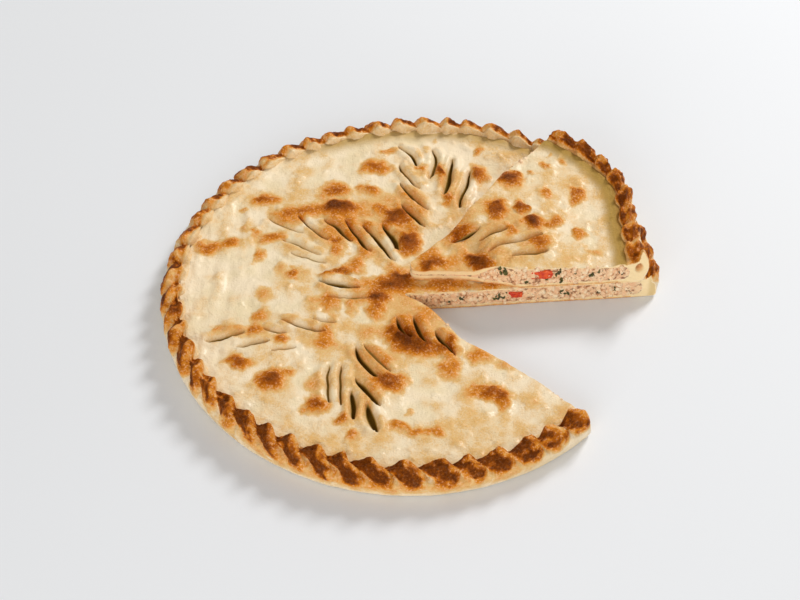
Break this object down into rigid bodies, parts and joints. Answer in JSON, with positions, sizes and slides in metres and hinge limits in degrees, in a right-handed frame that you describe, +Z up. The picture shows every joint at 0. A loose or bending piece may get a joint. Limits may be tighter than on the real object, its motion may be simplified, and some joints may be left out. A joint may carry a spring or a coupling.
{
  "type": "ossetian pie",
  "caption": "Round flat meat pie with a twisted rope edge and a slit lid; a wedge is cut out and laid on top, and the minced filling shows at the cuts.",
  "frame": {"origin": "on the ground under the middle of the whole, whose flat bottom is at z = 0", "axes": "+Z up, through the pie's thickness; the missing wedge opens towards +X and -Y"},
  "size_m": [0.317, 0.3226, 0.0435],
  "materials": {
    "crust": "satin",
    "lid": "satin",
    "filling": "matte",
    "tomato": "gloss"
  },
  "bodies": {
    "root": {"bottom_crust": "crust", "top_crust": "lid", "filling": "filling", "tomato_piece": "tomato", "slice_bottom_crust": "crust", "slice_top_crust": "lid", "slice_filling": "filling", "slice_tomato_piece": "tomato"}
  },
  "joints": []
}
